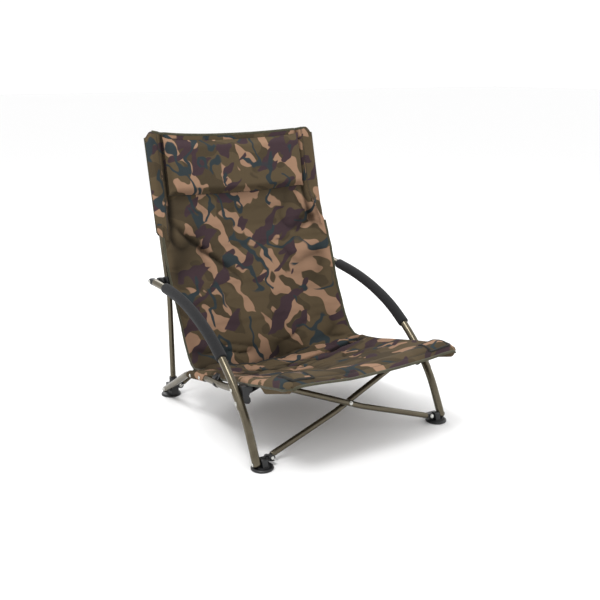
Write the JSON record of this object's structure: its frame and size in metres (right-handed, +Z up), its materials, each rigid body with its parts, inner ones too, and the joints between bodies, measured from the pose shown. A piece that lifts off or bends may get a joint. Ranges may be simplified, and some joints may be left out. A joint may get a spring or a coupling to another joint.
{
  "type": "folding_chair",
  "caption": "Low carp fishing chair: camouflage fabric sling in a folding tube frame with foam arm grips, scissor cross tubes at front and back, sliding collars on the back posts and round foot pads",
  "frame": {"origin": "on the ground, at the middle of the bounding box's footprint", "axes": "+Z up, the sitter faces -Y, the chair's left side is -X and its right side +X"},
  "size_m": [0.6494, 0.7922, 0.785],
  "materials": {
    "tube": "olive brown powder coat with a soft metallic sheen",
    "moulding": "satin black moulded nylon",
    "foam": "fine open foam, matt charcoal",
    "rivet": "bright steel rivets",
    "camouflage": "coated woven polyester printed in woodland camouflage, brown, tan, dark brown and slate",
    "webbing": "dark olive woven webbing"
  },
  "bodies": {
    "left_frame": {"rear_foot_left": "moulding", "rear_foot_rivet_left": "rivet", "rail_rivet_left": "rivet", "post_left": "tube", "post_cap_left": "moulding", "post_sleeve_left": "camouflage", "back_sling": "camouflage", "head_cushion": "camouflage"},
    "right_frame": {"rear_foot_right": "moulding", "rear_foot_rivet_right": "rivet", "rail_rivet_right": "rivet", "post_right": "tube", "post_cap_right": "moulding", "post_sleeve_right": "camouflage"},
    "rear_cross_a": {"rear_cross_tube_a": "tube", "rear_cross_foot_end_a": "moulding", "rear_cross_collar_end_a": "moulding", "rear_cross_rivet": "rivet"},
    "rear_cross_b": {"rear_cross_tube_b": "tube", "rear_cross_foot_end_b": "moulding", "rear_cross_collar_end_b": "moulding"},
    "left_collar": {"collar_left": "moulding", "collar_rivet_left": "rivet", "arm_rivet_left": "rivet"},
    "right_collar": {"collar_right": "moulding", "collar_rivet_right": "rivet", "arm_rivet_right": "rivet"},
    "left_arm": {"arm_tube_left": "tube", "arm_grip_left": "foam", "arm_end_left": "moulding", "leg_bracket_left": "moulding"},
    "right_arm": {"arm_tube_right": "tube", "arm_grip_right": "foam", "arm_end_right": "moulding", "leg_bracket_right": "moulding"},
    "left_foot": {"front_foot_left": "moulding", "leg_rivet_left": "rivet", "front_foot_rivet_left": "rivet"},
    "right_foot": {"front_foot_right": "moulding", "leg_rivet_right": "rivet", "front_foot_rivet_right": "rivet"},
    "front_cross_a": {"front_cross_tube_a": "tube", "front_cross_foot_end_a": "moulding", "front_cross_rail_end_a": "moulding"},
    "front_cross_b": {"front_cross_tube_b": "tube", "front_cross_foot_end_b": "moulding", "front_cross_rail_end_b": "moulding"},
    "left_rail": {"lower_rail_left": "tube", "upper_rail_left": "tube", "rail_plate_left": "moulding", "rail_saddle_left": "moulding", "corner_pocket_left": "camouflage", "seat_tab_left": "webbing"},
    "right_rail": {"lower_rail_right": "tube", "upper_rail_right": "tube", "rail_plate_right": "moulding", "rail_saddle_right": "moulding", "corner_pocket_right": "camouflage", "seat_tab_right": "webbing"},
    "seat": {"seat_sling": "camouflage"}
  },
  "joints": [
    {"name": "fold", "type": "hinge", "parent": "left_frame", "child": "rear_cross_a", "pos_m": [-0.252, 0.29035, 0.025], "axis": [0, -0.9728, 0.2317], "range_deg": [0, 46.6], "deforming": ["back_sling", "head_cushion", "post_sleeve_left"]},
    {"name": "rear_scissor", "type": "hinge", "parent": "rear_cross_a", "child": "rear_cross_b", "pos_m": [0, 0.29466, 0.19138], "axis": [0, -0.9728, 0.2317], "range_deg": [-93.2, 0]},
    {"name": "right_foot_pivot", "type": "hinge", "parent": "rear_cross_b", "child": "right_frame", "pos_m": [0.252, 0.29035, 0.025], "axis": [0, -0.9728, 0.2317], "range_deg": [0, 46.6], "deforming": ["post_sleeve_right"]},
    {"name": "right_collar_pivot", "type": "hinge", "parent": "rear_cross_a", "child": "right_collar", "pos_m": [0.252, 0.29897, 0.35776], "axis": [0, -0.9728, 0.2317], "range_deg": [-46.6, 0]},
    {"name": "left_collar_pivot", "type": "hinge", "parent": "rear_cross_b", "child": "left_collar", "pos_m": [-0.252, 0.29897, 0.35776], "axis": [0, -0.9728, 0.2317], "range_deg": [0, 46.6]},
    {"name": "left_arm_pivot", "type": "hinge", "parent": "left_collar", "child": "left_arm", "pos_m": [-0.311, 0.31135, 0.358], "axis": [1, 0, 0], "range_deg": [0, 29.12]},
    {"name": "right_arm_pivot", "type": "hinge", "parent": "right_collar", "child": "right_arm", "pos_m": [0.311, 0.31135, 0.358], "axis": [1, 0, 0], "range_deg": [0, 29.12]},
    {"name": "left_leg_pivot", "type": "hinge", "parent": "left_arm", "child": "left_foot", "pos_m": [-0.2812, -0.29465, 0.017], "axis": [1, 0, 0], "range_deg": [-23.44, 0]},
    {"name": "right_leg_pivot", "type": "hinge", "parent": "right_arm", "child": "right_foot", "pos_m": [0.2812, -0.29465, 0.017], "axis": [1, 0, 0], "range_deg": [-23.44, 0]},
    {"name": "front_cross_pivot_a", "type": "hinge", "parent": "left_foot", "child": "front_cross_a", "pos_m": [-0.254, -0.28665, 0.019], "axis": [0, -0.9558, 0.2939], "range_deg": [0, 57.85]},
    {"name": "front_cross_pivot_b", "type": "hinge", "parent": "right_foot", "child": "front_cross_b", "pos_m": [0.254, -0.28665, 0.019], "axis": [0, -0.9558, 0.2939], "range_deg": [-57.85, 0]},
    {"name": "left_rail_pivot", "type": "hinge", "parent": "left_frame", "child": "left_rail", "pos_m": [-0.297, 0.27535, 0.028], "axis": [1, 0, 0], "range_deg": [-53.14, 0]},
    {"name": "right_rail_pivot", "type": "hinge", "parent": "right_frame", "child": "right_rail", "pos_m": [0.297, 0.27535, 0.028], "axis": [1, 0, 0], "range_deg": [-53.14, 0]},
    {"name": "seat_fold", "type": "hinge", "parent": "left_frame", "child": "seat", "pos_m": [0, 0.18435, 0.1165], "axis": [1, 0, 0], "range_deg": [-64.12, 0], "deforming": ["seat_sling"]}
  ],
  "couplings": [
    {"joint": "rear_scissor", "follows": "fold", "ratio": -2},
    {"joint": "right_foot_pivot", "follows": "fold", "ratio": 1},
    {"joint": "right_collar_pivot", "follows": "fold", "ratio": -1},
    {"joint": "left_collar_pivot", "follows": "fold", "ratio": 1},
    {"joint": "left_arm_pivot", "follows": "fold", "ratio": 0.6249},
    {"joint": "right_arm_pivot", "follows": "fold", "ratio": 0.6249},
    {"joint": "left_leg_pivot", "follows": "fold", "ratio": -0.503},
    {"joint": "right_leg_pivot", "follows": "fold", "ratio": -0.503},
    {"joint": "front_cross_pivot_a", "follows": "fold", "ratio": 1.2414},
    {"joint": "front_cross_pivot_b", "follows": "fold", "ratio": -1.2414},
    {"joint": "left_rail_pivot", "follows": "fold", "ratio": -1.1404},
    {"joint": "right_rail_pivot", "follows": "fold", "ratio": -1.1404},
    {"joint": "seat_fold", "follows": "fold", "ratio": -1.3759}
  ]
}
